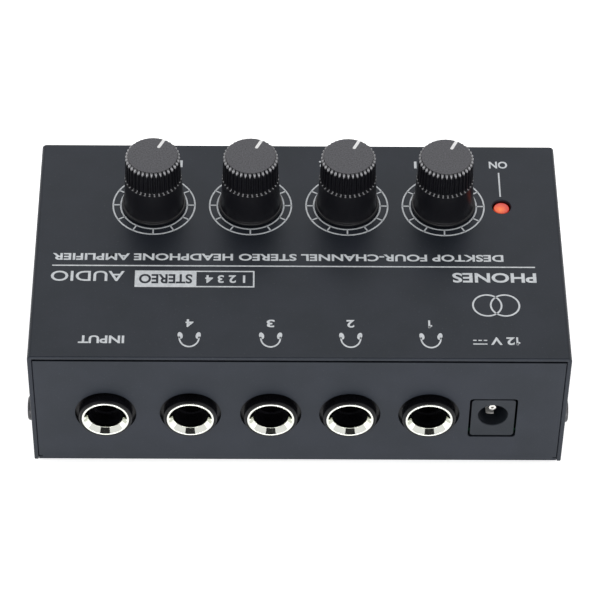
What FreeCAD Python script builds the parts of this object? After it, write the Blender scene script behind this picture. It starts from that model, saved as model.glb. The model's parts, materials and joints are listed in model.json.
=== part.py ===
import FreeCAD, Part
import math
import os

# Four-channel headphone amplifier. Sizes are in millimetres.
# +Z is up, -Y is the user's side and +Y is the socket side. Pieces are drawn about the middle of the case,
# and the finished part is moved so that its origin is at the middle of its base, sockets included.

Vector = FreeCAD.Vector

# Casing
case_width = 120.4
case_depth = 67.2
case_height = 35.0
cover_sheet = 1.0
chassis_sheet = 0.8
bend_inside = 0.1
chassis_corner = 0.25
panel_recess = 0.15
side_gap = 0.06
top_gap = 0.6
tab_length = 16.0
tab_relief = 0.3
cut_over = 1.0

# Feet
foot_height = 1.5
foot_radius = 5.0
foot_inset = 11.0

# Side screws and their nuts
side_screw_setback = 8.0
side_screw_rise = 8.7
screw_thread_radius = 1.5
screw_thread_gap = 0.02
screw_hole_gap = 0.2
side_head_cover = 1.1
side_head_height = 1.4
screw_head_round = 0.6
side_screw_length = 6.0
recess_width = 0.7
recess_span = 2.8
recess_depth = 0.7
nut_flange = 0.7
nut_height = 2.0
nut_spigot_wall = 0.58
seat_gap = 0.02

# Circuit board and its standoffs
board_rise = 8.9
board_thickness = 1.6
board_screw_gap = 1.5
board_front_inset = 2.1
board_rear_inset = 7.6
standoff_side_inset = 5.0
standoff_rear_inset = 4.0
standoff_jack_gap = 4.5
standoff_flats = 5.5
board_head_cover = 1.05
board_head_height = 1.8
board_screw_length = 6.0
pin_tail = 1.2
pin_hole_radius = 0.8

# Quarter-inch sockets
jack_places = {
    "input": 43.4,
    "output_4": 24.35,
    "output_3": 6.3,
    "output_2": -11.48,
    "output_1": -29.28,
}
jack_width = 16.0
jack_height = 14.2
jack_length = 30.0
jack_wall = 1.6
jack_panel_gap = 0.1
nose_wall = 0.68
nose_proud = 1.65
nose_bevel = 0.3
nose_hole_gap = 0.9
ferrule_proud = 0.15
ferrule_rim_width = 0.3
ferrule_rim_height = 0.8
ferrule_lip = 0.1
ferrule_cone_width = 1.1
ferrule_cone_depth = 1.2
ferrule_sleeve_wall = 0.4
ferrule_length = 2.0
socket_bore_radius = 3.25
socket_bore_start = 5.2
socket_bore_length = 8.0
socket_throat_step = 0.65
contact_sheet = 0.4
contact_width = 2.0
contact_pin_width = 1.0
contact_plug_gap = 0.25
contact_wall_gap = 0.2
contact_finger_length = 3.6
contact_finger_height = 2.4
tip_contact_setback = 1.2
ring_contact_setback = 7.2
sleeve_contact_setback = 12.8

# Power inlet
inlet_x = -43.74
inlet_width = 9.8
inlet_height = 11.9
inlet_length = 14.2
inlet_recess = 0.1
inlet_corner = 0.8
inlet_gap = 0.5
inlet_axis_rise = 6.75
inlet_bore_radius = 3.35
inlet_bore_depth = 9.5
inlet_bevel = 0.15
inlet_pin_radius = 1.05
inlet_pin_setback = 2.4
inlet_pin_tip = 0.25
inlet_pin_hollow_radius = 0.3
inlet_pin_hollow_depth = 1.0
inlet_pin_root_step = 0.25
inlet_strip_reach = 0.5
inlet_strip_thickness = 0.5
inlet_strip_start = 3.5
inlet_terminal_setback = 11.2
inlet_leg_offset = 1.3

# Level controls
knob_count = 4
knob_pitch = 22.25
knob_row_setback = 47.3
knob_height = 16.0
knob_lift = 0.5
knob_grip_radius = 6.2
knob_grip_taper = 0.3
knob_flare = 0.85
knob_flare_hollow = 0.2
knob_top_step = 0.56
knob_top_chamfer = 0.5
knob_ledge_rise = 9.15
knob_base_band = 0.6
knob_base_round = 0.5
knob_skirt_wall = 1.4
knob_hub_wall = 1.38
knob_hub_lift = 0.4
knob_hollow_depth = 5.0
knob_flutes = 36
flute_radius = 0.45
flute_depth = 0.56
pointer_width = 0.75
pointer_depth = 0.4
pointer_inner_end = 2.7
pointer_sink = 0.05
pointer_rest_angle = 244.0
shaft_radius = 3.0
shaft_flat = 1.5
shaft_fit = 0.02
shaft_bearing_gap = 0.05
shaft_hole_gap = 0.7
shaft_top_depth = 4.0
shaft_end_gap = 0.5
pot_wall = 0.6
pot_depth = 11.0
pot_height = 6.8
pot_floor = 2.0
pot_plate = 1.0
pot_bush_wall = 0.75
pot_bush_height = 5.0
rotor_step = 0.9
rotor_height = 4.0
rotor_gap = 0.3
rotor_side_gap = 0.4
pot_pin_pitch = 2.5
pot_pin_edge = 1.2
pot_pin_width = 0.9
pot_pin_sheet = 0.3

# Power lamp
lamp_x = -46.9
lamp_radius = 1.8
lamp_edge_round = 0.3
lamp_flange_step = 0.4
lamp_flange_height = 1.0
lamp_length = 5.3
lamp_sink = 0.5
lamp_hole_gap = 0.35
lamp_lead_pitch = 2.54
lamp_lead_width = 0.5
lamp_spacer_step = 0.3
lamp_lead_gap = 0.1

# Parts on the board
chip_width = 9.6
chip_depth = 6.4
chip_height = 3.4
chip_notch_radius = 0.8
chip_notch_depth = 0.3
chip_leg_pitch = 2.54
chip_leg_width = 0.5
chip_leg_reach = 0.9
chip_leg_rise = 1.6
chip_legs_a_side = 4
chip_count = 3
coupling_can_gap = 0.8
coupling_can_radius = 3.15
coupling_can_height = 11.0
bulk_can_radius = 5.0
bulk_can_height = 16.0
bulk_can_gap = 2.9
can_round = 0.5
regulator_x = 44.5
regulator_width = 10.0
regulator_depth = 4.5
regulator_height = 9.0
regulator_tab_sheet = 1.2
regulator_tab_height = 15.0
regulator_lift = 2.5
regulator_lead_pitch = 2.54
regulator_lead_width = 0.8
resistor_length = 2.0
resistor_width = 1.25
resistor_height = 0.5
resistor_pitch = 5.6
resistor_count = 14
resistor_row_inset = 3.4

# Levels and edges that follow from the sizes above
case_bottom = foot_height
case_top = case_bottom + case_height
half_width = case_width / 2
half_depth = case_depth / 2
chassis_bend = chassis_sheet + bend_inside
chassis_half_width = half_width - cover_sheet - side_gap
panel_face = half_depth - panel_recess
panel_back = panel_face - chassis_sheet
panel_top = case_top - cover_sheet - top_gap
floor_top = case_bottom + chassis_sheet
board_top = case_bottom + board_rise
board_bottom = board_top - board_thickness
board_half_width = half_width - side_screw_length - board_screw_gap
board_front = panel_face - board_front_inset
board_rear = board_rear_inset - half_depth
knob_row_y = half_depth - knob_row_setback
jack_axis_z = board_top + jack_height / 2
jack_front = panel_back - jack_panel_gap
jack_back = jack_front - jack_length
nose_front = half_depth + nose_proud
ferrule_front = nose_front + ferrule_proud
bore_front = ferrule_front - socket_bore_start
chamber_front = bore_front - socket_bore_length
chamber_back = jack_back + jack_wall
inlet_face = panel_face - inlet_recess
inlet_rear = inlet_face - inlet_length
inlet_axis_z = board_top + inlet_axis_rise
pot_top = board_top + pot_height
rotor_bottom = board_top + pot_floor + rotor_gap
shaft_top = case_top + knob_height - shaft_top_depth
side_screw_z = case_bottom + side_screw_rise
side_screw_y = half_depth - side_screw_setback
thread_hole_radius = screw_thread_radius + screw_thread_gap
clear_hole_radius = screw_thread_radius + screw_hole_gap
side_head_radius = clear_hole_radius + side_head_cover
board_head_radius = clear_hole_radius + board_head_cover
nut_spigot_radius = thread_hole_radius + nut_spigot_wall
nut_radius = nut_spigot_radius + nut_flange
socket_throat_radius = socket_bore_radius + socket_throat_step
ferrule_mouth_radius = socket_throat_radius + ferrule_cone_width
ferrule_rim_radius = ferrule_mouth_radius + ferrule_rim_width
ferrule_sleeve_radius = socket_throat_radius + ferrule_sleeve_wall
nose_radius = ferrule_rim_radius + seat_gap + nose_wall
inlet_root_radius = inlet_pin_radius - inlet_pin_root_step
knob_top_radius = knob_grip_radius - knob_top_step
knob_grip_base_radius = knob_grip_radius + knob_grip_taper
knob_base_radius = knob_grip_base_radius + knob_flare
knob_hub_radius = shaft_radius + shaft_fit + knob_hub_wall
rotor_radius = shaft_radius + rotor_step
pot_well_radius = rotor_radius + rotor_side_gap
pot_width = 2 * (pot_well_radius + pot_wall)
pot_bush_radius = shaft_radius + shaft_bearing_gap + pot_bush_wall
lamp_hole_radius = lamp_radius + lamp_hole_gap
lamp_flange_radius = lamp_radius + lamp_flange_step
lamp_spacer_radius = lamp_flange_radius + lamp_spacer_step
chip_row_y = knob_row_y + pot_depth / 2 + coupling_can_gap + coupling_can_radius
bulk_can_y = inlet_rear - contact_sheet - bulk_can_gap - bulk_can_radius


def box(x0, x1, y0, y1, z0, z1):
    """A block between two opposite corners."""
    return Part.makeBox(x1 - x0, y1 - y0, z1 - z0, Vector(x0, y0, z0))


def post(x, y, radius, z0, z1):
    """A round bar that stands along Z."""
    return Part.makeCylinder(radius, z1 - z0, Vector(x, y, z0))


def bar_y(x, z, radius, y0, y1):
    """A round bar that lies along Y."""
    return Part.makeCylinder(radius, y1 - y0, Vector(x, y0, z), Vector(0, 1, 0))


def bar_x(y, z, radius, x0, x1):
    """A round bar that lies along X."""
    return Part.makeCylinder(radius, x1 - x0, Vector(x0, y, z), Vector(1, 0, 0))


def turned(outline):
    """A solid turned about Z from its (radius, height) outline."""
    points = [Vector(radius, 0, height) for radius, height in outline]
    face = Part.Face(Part.makePolygon(points + points[:1]))
    return face.revolve(Vector(0, 0, 0), Vector(0, 0, 1), 360)


def turned_back(outline, x, z, front):
    """A solid turned about Y from its (radius, depth behind the front) outline."""
    shape = turned([(radius, -depth) for radius, depth in outline])
    shape.rotate(Vector(0, 0, 0), Vector(1, 0, 0), -90)
    shape.translate(Vector(x, front, z))
    return shape


def joined(shapes):
    """One solid from touching pieces, with no seams left on flat faces."""
    return shapes[0].fuse(shapes[1:]).removeSplitter()


def rounded(shape, radius, chosen):
    """The shape with a fillet on the edges that the test picks."""
    return shape.makeFillet(radius, [edge for edge in shape.Edges if chosen(edge)])


def runs_along(edge, direction):
    """Whether a straight edge is parallel to a unit direction."""
    if len(edge.Vertexes) != 2 or not isinstance(edge.Curve, Part.Line):
        return False
    run = edge.Vertexes[1].Point - edge.Vertexes[0].Point
    return abs(abs(run.dot(direction)) - run.Length) < 1e-6


def is_ring_at(edge, height):
    """Whether an edge is a circle about Z at a height."""
    middle = edge.BoundBox.Center
    flat = edge.BoundBox.ZLength < 1e-6
    return isinstance(edge.Curve, Part.Circle) and flat and abs(middle.z - height) < 1e-6


def channel(half_span, web, rim, sheet, bend_outside, place, run):
    """A sheet bent into a U, drawn as (across, up) and swept along run.

    web is the outer face of the middle leg, rim is where the two side legs end.
    """
    way = 1 if rim > web else -1
    diagonal = math.sqrt(0.5)

    def corner(side, depth, radius):
        """The bend's arc on one face of the sheet, from the side leg to the web."""
        centre = side * (half_span - depth - radius)
        centre_up = web + way * (depth + radius)
        start = place(centre + side * radius, centre_up)
        middle = place(centre + side * radius * diagonal, centre_up - way * radius * diagonal)
        end = place(centre, centre_up - way * radius)
        return start, middle, end

    left_out = corner(-1, 0, bend_outside)
    right_out = corner(1, 0, bend_outside)
    left_in = corner(-1, sheet, bend_inside)
    right_in = corner(1, sheet, bend_inside)
    left_rim_out = place(-half_span, rim)
    right_rim_out = place(half_span, rim)
    left_rim_in = place(sheet - half_span, rim)
    right_rim_in = place(half_span - sheet, rim)
    edges = [
        Part.makeLine(left_rim_out, left_out[0]),
        Part.Arc(*left_out).toShape(),
        Part.makeLine(left_out[2], right_out[2]),
        Part.Arc(*reversed(right_out)).toShape(),
        Part.makeLine(right_out[0], right_rim_out),
        Part.makeLine(right_rim_out, right_rim_in),
        Part.makeLine(right_rim_in, right_in[0]),
        Part.Arc(*right_in).toShape(),
        Part.makeLine(right_in[2], left_in[2]),
        Part.Arc(*reversed(left_in)).toShape(),
        Part.makeLine(left_in[0], left_rim_in),
        Part.makeLine(left_rim_in, left_rim_out),
    ]
    return Part.Face(Part.Wire(edges)).extrude(run)


def four_corners(x, y):
    """The four places that mirror one (x, y) about the middle."""
    return [(side * x, end * y) for end in (-1, 1) for side in (-1, 1)]


def knob_places():
    """The X of each level control, from the user's left to right."""
    first = -knob_pitch * (knob_count - 1) / 2
    return [first + knob_pitch * index for index in range(knob_count)]


def standoff_places():
    """The (x, y) of the four board standoffs."""
    x = board_half_width - standoff_side_inset
    rear = board_rear + standoff_rear_inset
    front = jack_back - standoff_jack_gap
    return [(side * x, y) for y in (rear, front) for side in (-1, 1)]


def side_screw_tools(radius, outer, inner):
    """Round bars on the axes of the four side screws, between two distances from the middle."""
    bars = []
    for y in (-side_screw_y, side_screw_y):
        bars.append(bar_x(y, side_screw_z, radius, inner, outer))
        bars.append(bar_x(y, side_screw_z, radius, -outer, -inner))
    return bars


def top_cover():
    """U-shaped cover: the top and both side walls, with the shaft, lamp and screw holes."""
    shell = channel(
        half_width,
        case_top,
        case_bottom,
        cover_sheet,
        cover_sheet + bend_inside,
        lambda across, up: Vector(across, -half_depth, up),
        Vector(0, case_depth, 0),
    )
    through = (case_top - 2 * cover_sheet, case_top + cover_sheet)
    holes = [post(x, knob_row_y, shaft_radius + shaft_hole_gap, *through) for x in knob_places()]
    holes.append(post(lamp_x, knob_row_y, lamp_hole_radius, *through))
    holes += side_screw_tools(clear_hole_radius, half_width + cover_sheet, half_width - 2 * cover_sheet)
    return shell.cut(holes)


def bottom_chassis():
    """Floor and both end panels, with side tabs that carry the nuts."""
    tab_bottom = case_bottom + chassis_bend + tab_relief
    tray = channel(
        panel_face,
        case_bottom,
        tab_bottom,
        chassis_sheet,
        chassis_corner,
        lambda across, up: Vector(-chassis_half_width, across, up),
        Vector(2 * chassis_half_width, 0, 0),
    )
    reliefs = []
    for side_x, side_y in four_corners(1, 1):
        xs = sorted((side_x * (chassis_half_width - chassis_bend), side_x * half_width))
        ys = sorted((side_y * (panel_face - chassis_bend), side_y * half_depth))
        reliefs.append(box(*xs, *ys, case_bottom + chassis_bend, tab_bottom))
    ends = []
    for end in (-1, 1):
        ends.append(
            channel(
                chassis_half_width,
                end * panel_face,
                end * (panel_face - tab_length),
                chassis_sheet,
                chassis_corner,
                lambda across, up: Vector(across, up, tab_bottom),
                Vector(0, 0, panel_top - tab_bottom),
            )
        )
    holes = [
        bar_y(x, jack_axis_z, nose_radius + nose_hole_gap, panel_back - cut_over, half_depth)
        for x in jack_places.values()
    ]
    holes.append(inlet_block(inlet_gap, panel_back - cut_over, half_depth))
    beyond_tab = chassis_half_width - 2 * chassis_sheet
    holes += side_screw_tools(nut_spigot_radius + seat_gap, half_width, beyond_tab)
    for x, y in standoff_places():
        holes.append(post(x, y, nut_spigot_radius + seat_gap, case_bottom - cut_over, floor_top + cut_over))
    return joined([tray.cut(reliefs)] + ends).cut(holes)


def cross_recess():
    """The cutter for a cross slot, centred on Z and reaching down from the top at zero."""
    half_slot = recess_width / 2
    half_span = recess_span / 2
    along = box(-half_span, half_span, -half_slot, half_slot, -recess_depth, recess_depth)
    across = box(-half_slot, half_slot, -half_span, half_span, -recess_depth, recess_depth)
    return along.fuse(across)


def pan_screw(head_radius, head_height, head_round, length):
    """A pan-head screw with its head's seat at zero and its thread pointing down."""
    head = post(0, 0, head_radius, 0, head_height)
    head = rounded(head, head_round, lambda edge: is_ring_at(edge, head_height))
    thread = post(0, 0, screw_thread_radius, -length, 0)
    recess = cross_recess()
    recess.translate(Vector(0, 0, head_height))
    return joined([head, thread]).cut(recess)


def side_screws():
    """Four screws that hold the cover to the chassis."""
    screws = []
    for side in (-1, 1):
        for y in (-side_screw_y, side_screw_y):
            screw = pan_screw(side_head_radius, side_head_height, screw_head_round, side_screw_length)
            screw.rotate(Vector(0, 0, 0), Vector(0, 1, 0), side * 90)
            screw.translate(Vector(side * half_width, y, side_screw_z))
            screws.append(screw)
    return Part.makeCompound(screws)


def clinch_nuts():
    """Four round nuts pressed into the chassis tabs."""
    tab_inner = chassis_half_width - chassis_sheet
    nuts = []
    spigots = side_screw_tools(nut_spigot_radius, chassis_half_width, tab_inner)
    flanges = side_screw_tools(nut_radius, tab_inner, tab_inner - nut_height)
    bores = side_screw_tools(thread_hole_radius, half_width, tab_inner - 2 * nut_height)
    for spigot, flange, bore in zip(spigots, flanges, bores):
        nuts.append(joined([spigot, flange]).cut(bore))
    return Part.makeCompound(nuts)


def rubber_feet():
    """Four stick-on round feet."""
    places = four_corners(half_width - foot_inset, half_depth - foot_inset)
    return Part.makeCompound([post(x, y, foot_radius, 0, foot_height) for x, y in places])


def board_standoffs():
    """Four hexagonal standoffs with a spigot clinched in the chassis floor."""
    standoffs = []
    corner_radius = standoff_flats / math.sqrt(3)
    for x, y in standoff_places():
        corners = []
        for index in range(6):
            angle = math.radians(60 * index)
            corner_x = x + corner_radius * math.cos(angle)
            corner_y = y + corner_radius * math.sin(angle)
            corners.append(Vector(corner_x, corner_y, floor_top))
        hexagon = Part.Face(Part.makePolygon(corners + corners[:1]))
        pillar = hexagon.extrude(Vector(0, 0, board_bottom - floor_top))
        spigot = post(x, y, nut_spigot_radius, case_bottom, floor_top)
        bore = post(x, y, thread_hole_radius, case_bottom - cut_over, board_bottom + cut_over)
        standoffs.append(joined([pillar, spigot]).cut(bore))
    return Part.makeCompound(standoffs)


def board_screws():
    """Four screws that hold the board to its standoffs."""
    screws = []
    for x, y in standoff_places():
        screw = pan_screw(board_head_radius, board_head_height, screw_head_round, board_screw_length)
        screw.translate(Vector(x, y, board_top))
        screws.append(screw)
    return Part.makeCompound(screws)


def circuit_board():
    """The one board, drilled for every screw and terminal."""
    board = box(-board_half_width, board_half_width, board_rear, board_front, board_bottom, board_top)
    drill = (board_bottom - cut_over, board_top + cut_over)
    holes = [post(x, y, clear_hole_radius, *drill) for x, y in standoff_places()]
    for x, y in terminal_places():
        holes.append(post(x, y, pin_hole_radius, *drill))
    return board.cut(holes)


def terminal_places():
    """The (x, y) of every terminal that passes through the board."""
    places = []
    for x in jack_places.values():
        places += [(x + offset, y) for offset, y in jack_contact_places()]
    places += inlet_terminal_places()
    for x in knob_places():
        places += pot_pin_places(x)
    places += [(x, knob_row_y) for x in lamp_lead_places()]
    return places


def jack_contact_places():
    """Offset from the socket's axis and Y of the terminal, for the tip, ring and sleeve contacts."""
    side = jack_width / 2 - jack_wall - contact_wall_gap - contact_sheet / 2
    return [
        (-side, chamber_back + tip_contact_setback),
        (side, chamber_back + ring_contact_setback),
        (-side, chamber_back + sleeve_contact_setback),
    ]


def jack_body(x):
    """The moulded housing of one socket, with its nose, spring chamber and terminal slots."""
    half = jack_width / 2
    housing = box(x - half, x + half, jack_back, jack_front, board_top, board_top + jack_height)
    nose = turned_back(
        [
            (0, 0),
            (nose_radius - nose_bevel, 0),
            (nose_radius, nose_bevel),
            (nose_radius, nose_front - jack_front),
            (0, nose_front - jack_front),
        ],
        x,
        jack_axis_z,
        nose_front,
    )
    inner = half - jack_wall
    chamber = box(
        x - inner,
        x + inner,
        chamber_back,
        chamber_front,
        board_top + jack_wall,
        board_top + jack_height - jack_wall,
    )
    rim_seat = ferrule_front - ferrule_rim_height
    sleeve_seat = ferrule_front - ferrule_length - seat_gap
    mouth = [
        bar_y(x, jack_axis_z, ferrule_rim_radius + seat_gap, rim_seat, ferrule_front),
        bar_y(x, jack_axis_z, ferrule_sleeve_radius + seat_gap, sleeve_seat, ferrule_front),
        bar_y(x, jack_axis_z, socket_throat_radius, bore_front, ferrule_front),
        bar_y(x, jack_axis_z, socket_bore_radius, chamber_front - cut_over, ferrule_front),
    ]
    slots = []
    for offset, y in jack_contact_places():
        half_slot = contact_sheet / 2 + seat_gap
        half_length = contact_width / 2 + seat_gap
        slots.append(
            box(
                x + offset - half_slot,
                x + offset + half_slot,
                y - half_length,
                y + half_length,
                board_top - cut_over,
                board_top + jack_wall + cut_over,
            )
        )
    return joined([housing, nose]).cut([chamber] + mouth + slots)


def jack_ferrule(x):
    """The plated ring that guides the plug: a rolled rim, a funnel and a short sleeve."""
    outline = [
        (ferrule_mouth_radius, ferrule_lip),
        (ferrule_mouth_radius + ferrule_lip, 0),
        (ferrule_rim_radius - ferrule_lip, 0),
        (ferrule_rim_radius, ferrule_lip),
        (ferrule_rim_radius, ferrule_rim_height),
        (ferrule_sleeve_radius, ferrule_rim_height),
        (ferrule_sleeve_radius, ferrule_length),
        (socket_throat_radius, ferrule_length),
        (socket_throat_radius, ferrule_cone_depth),
    ]
    return turned_back(outline, x, jack_axis_z, ferrule_front)


def jack_contacts(x):
    """Tip, ring and sleeve contacts: each an upright strip with a finger and a board pin."""
    reach = socket_bore_radius + contact_plug_gap
    half_blade = contact_width / 2
    half_pin = contact_pin_width / 2
    low = jack_axis_z - contact_finger_height / 2
    high = jack_axis_z + contact_finger_height / 2
    contacts = []
    for offset, y in jack_contact_places():
        x0 = x + offset - contact_sheet / 2
        x1 = x + offset + contact_sheet / 2
        strip = box(x0, x1, y - half_blade, y + half_blade, board_top, jack_axis_z + half_blade)
        pin = box(x0, x1, y - half_pin, y + half_pin, board_bottom - pin_tail, board_top)
        far = y + contact_finger_length
        finger = box(x0, x1, y, far, low, high)
        side = math.copysign(1, offset)
        xs = sorted((x + side * reach, x + offset))
        pad = box(*xs, far - half_blade, far, low, high)
        contacts.append(joined([strip, pin, finger, pad]))
    return Part.makeCompound(contacts)


def inlet_block(gap, y0, y1):
    """The inlet's rectangular section with rounded corners, grown by a gap, between two Ys."""
    block = box(
        inlet_x - inlet_width / 2 - gap,
        inlet_x + inlet_width / 2 + gap,
        y0,
        y1,
        board_top - gap,
        board_top + inlet_height + gap,
    )
    return rounded(block, inlet_corner, lambda edge: runs_along(edge, Vector(0, 1, 0)))


def inlet_terminal_places():
    """The (x, y) of the centre pin's and the barrel contact's terminals."""
    barrel_leg = (inlet_x + inlet_leg_offset, inlet_face - inlet_terminal_setback)
    return [(inlet_x, inlet_rear - contact_sheet / 2), barrel_leg]


def inlet_body():
    """The moulded housing of the power inlet."""
    body = inlet_block(0, inlet_rear, inlet_face)
    bore = turned_back(
        [
            (0, 0),
            (inlet_bore_radius + inlet_bevel, 0),
            (inlet_bore_radius, inlet_bevel),
            (inlet_bore_radius, inlet_bore_depth),
            (0, inlet_bore_depth),
        ],
        inlet_x,
        inlet_axis_z,
        inlet_face,
    )
    pin_hole = bar_y(inlet_x, inlet_axis_z, inlet_root_radius + seat_gap, inlet_rear, inlet_face)
    return body.cut([bore, pin_hole, inlet_strip(seat_gap)])


def inlet_strip(gap):
    """The barrel contact: a strip along the floor of the bore with a leg down to the board."""
    strip_low = inlet_axis_z - inlet_bore_radius - inlet_strip_thickness / 2
    leg_x, leg_y = inlet_terminal_places()[1]
    half_pin = contact_pin_width / 2
    strip = box(
        inlet_x - inlet_strip_reach - gap,
        leg_x + half_pin + gap,
        leg_y - half_pin - gap,
        inlet_face - inlet_strip_start + gap,
        strip_low - gap,
        strip_low + inlet_strip_thickness + gap,
    )
    leg = box(
        leg_x - half_pin - gap,
        leg_x + half_pin + gap,
        leg_y - half_pin - gap,
        leg_y + half_pin + gap,
        board_top - gap,
        strip_low,
    )
    return joined([strip, leg])


def inlet_pin():
    """The centre pin, with a bevelled hollow tip and a thinner root through the back of the housing."""
    tip = inlet_face - inlet_pin_setback
    root = inlet_bore_depth - inlet_pin_setback
    outline = [
        (inlet_pin_hollow_radius, 0),
        (inlet_pin_radius - inlet_pin_tip, 0),
        (inlet_pin_radius, inlet_pin_tip),
        (inlet_pin_radius, root),
        (inlet_root_radius, root),
        (inlet_root_radius, tip - inlet_rear),
        (0, tip - inlet_rear),
        (0, inlet_pin_hollow_depth),
        (inlet_pin_hollow_radius, inlet_pin_hollow_depth),
    ]
    return turned_back(outline, inlet_x, inlet_axis_z, tip)


def inlet_terminal():
    """The terminal behind the housing, from the centre pin's root down through the board."""
    half_pin = contact_pin_width / 2
    return box(
        inlet_x - half_pin,
        inlet_x + half_pin,
        inlet_rear - contact_sheet,
        inlet_rear,
        board_bottom - pin_tail,
        inlet_axis_z + half_pin,
    )


def inlet_contact():
    """The barrel contact with its pin through the board."""
    leg_x, leg_y = inlet_terminal_places()[1]
    half_pin = contact_pin_width / 2
    tail = box(
        leg_x - half_pin,
        leg_x + half_pin,
        leg_y - half_pin,
        leg_y + half_pin,
        board_bottom - pin_tail,
        board_top,
    )
    return joined([inlet_strip(0), tail])


def pot_pin_places(x):
    """The (x, y) of the three terminals of one control."""
    y = knob_row_y + pot_depth / 2 - pot_pin_edge
    return [(x + step * pot_pin_pitch, y) for step in (-1, 0, 1)]


def pot_housing(x):
    """The moulded base of one control, with a round well for the rotor."""
    base = box(
        x - pot_width / 2,
        x + pot_width / 2,
        knob_row_y - pot_depth / 2,
        knob_row_y + pot_depth / 2,
        board_top,
        pot_top,
    )
    return base.cut(post(x, knob_row_y, pot_well_radius, board_top + pot_floor, pot_top + cut_over))


def pot_bush(x):
    """The metal lid of one control, with the bush that the shaft turns in."""
    lid = box(
        x - pot_width / 2,
        x + pot_width / 2,
        knob_row_y - pot_depth / 2,
        knob_row_y + pot_depth / 2,
        pot_top,
        pot_top + pot_plate,
    )
    bush_top = pot_top + pot_plate + pot_bush_height
    bush = post(x, knob_row_y, pot_bush_radius, pot_top, bush_top)
    bore = post(x, knob_row_y, shaft_radius + shaft_bearing_gap, pot_top - cut_over, bush_top + cut_over)
    return joined([lid, bush]).cut(bore)


def pot_terminals(x):
    """The three terminals of one control."""
    pins = []
    for pin_x, pin_y in pot_pin_places(x):
        pins.append(
            box(
                pin_x - pot_pin_width / 2,
                pin_x + pot_pin_width / 2,
                pin_y - pot_pin_sheet / 2,
                pin_y + pot_pin_sheet / 2,
                board_bottom - pin_tail,
                board_top,
            )
        )
    return Part.makeCompound(pins)


def flat_cut(x, radius, flat, z0, z1):
    """A round bar with one flat, on the side away from the pointer."""
    bar = post(0, 0, radius, z0, z1)
    reach = radius + cut_over
    beyond = box(flat, reach, -reach, reach, z0 - cut_over, z1 + cut_over)
    shape = bar.cut(beyond)
    shape.rotate(Vector(0, 0, 0), Vector(0, 0, 1), pointer_rest_angle + 180)
    shape.translate(Vector(x, knob_row_y, 0))
    return shape


def pot_shaft(x):
    """The turning shaft of one control, with its rotor and the flat that keys the knob."""
    rotor = post(x, knob_row_y, rotor_radius, rotor_bottom, rotor_bottom + rotor_height)
    plain = post(x, knob_row_y, shaft_radius, rotor_bottom, case_top)
    keyed = flat_cut(x, shaft_radius, shaft_flat, case_top, shaft_top)
    return joined([rotor, plain, keyed])


def knob_solid():
    """The knob's outer form without flutes, slot or bore, standing on the panel at zero."""
    skirt_inner = knob_base_radius - knob_skirt_wall
    hollow_top = knob_lift + knob_hollow_depth
    band_top = knob_lift + knob_base_band
    outline = [
        (knob_base_radius, band_top),
        (knob_base_radius, knob_lift),
        (skirt_inner, knob_lift),
        (skirt_inner, hollow_top),
        (knob_hub_radius, hollow_top),
        (knob_hub_radius, knob_lift + knob_hub_lift),
        (0, knob_lift + knob_hub_lift),
        (0, knob_height),
        (knob_top_radius, knob_height),
        (knob_grip_radius, knob_height - knob_top_chamfer),
        (knob_grip_base_radius, knob_ledge_rise),
    ]
    straight = Part.makePolygon([Vector(radius, 0, height) for radius, height in outline])
    waist_radius = (knob_grip_base_radius + knob_base_radius) / 2 - knob_flare_hollow
    waist = Vector(waist_radius, 0, (knob_ledge_rise + band_top) / 2)
    grip_foot = Vector(knob_grip_base_radius, 0, knob_ledge_rise)
    flare = Part.Arc(grip_foot, waist, Vector(knob_base_radius, 0, band_top)).toShape()
    face = Part.Face(Part.Wire(straight.Edges + [flare]))
    body = face.revolve(Vector(0, 0, 0), Vector(0, 0, 1), 360)

    def outer_base(edge):
        return is_ring_at(edge, knob_lift) and abs(edge.Curve.Radius - knob_base_radius) < 1e-6

    return rounded(body, knob_base_round, outer_base)


def flute_cutters():
    """Slightly leaning round cutters for the grip, each ending square on its ledge."""
    offset = flute_radius - flute_depth
    rise = knob_height - knob_top_chamfer - knob_ledge_rise
    lean = (knob_grip_radius - knob_grip_base_radius) / rise
    length = knob_height + cut_over - knob_ledge_rise
    cutters = []
    for index in range(knob_flutes):
        foot = Vector(knob_grip_base_radius + offset, 0, knob_ledge_rise)
        cutter = Part.makeCylinder(flute_radius, length, foot, Vector(lean, 0, 1))
        cutter.rotate(Vector(0, 0, 0), Vector(0, 0, 1), 360.0 * index / knob_flutes)
        cutters.append(cutter)
    return cutters


def pointer_bar(gap):
    """The pointer's slot with a rounded inner end, grown by a gap, towards +X."""
    half = pointer_width / 2 + gap
    bottom = knob_height - pointer_depth - gap
    middle = pointer_inner_end + pointer_width / 2
    top = knob_height + cut_over
    line = box(middle, knob_base_radius, -half, half, bottom, top)
    return joined([line, post(middle, 0, half, bottom, top)])


def placed_knob_piece(shape, x):
    """A knob piece turned to its rest angle and put over its hole."""
    piece = shape.copy()
    piece.rotate(Vector(0, 0, 0), Vector(0, 0, 1), pointer_rest_angle)
    piece.translate(Vector(x, knob_row_y, case_top))
    return piece


def knob_body():
    """The finished knob, apart from its bore, at zero."""
    return knob_solid().cut(flute_cutters() + [pointer_bar(seat_gap)])


def knob_with_bore(body, x):
    """The knob over its control, bored to fit the keyed shaft."""
    bore_top = shaft_top + shaft_end_gap
    bore = flat_cut(x, shaft_radius + shaft_fit, shaft_flat + shaft_fit, case_top, bore_top)
    return placed_knob_piece(body, x).cut(bore)


def knob_pointer():
    """The white pointer line that fills the knob's slot, at zero."""
    form = knob_solid()
    form.translate(Vector(0, 0, -pointer_sink))
    return pointer_bar(0).common(form)


def lamp_lead_places():
    """The X of the two lamp leads."""
    return [lamp_x - lamp_lead_pitch / 2, lamp_x + lamp_lead_pitch / 2]


def lamp_levels():
    """The lamp's top and the underside of its flange."""
    top = case_top - lamp_sink
    return top, top - lamp_length


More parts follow.
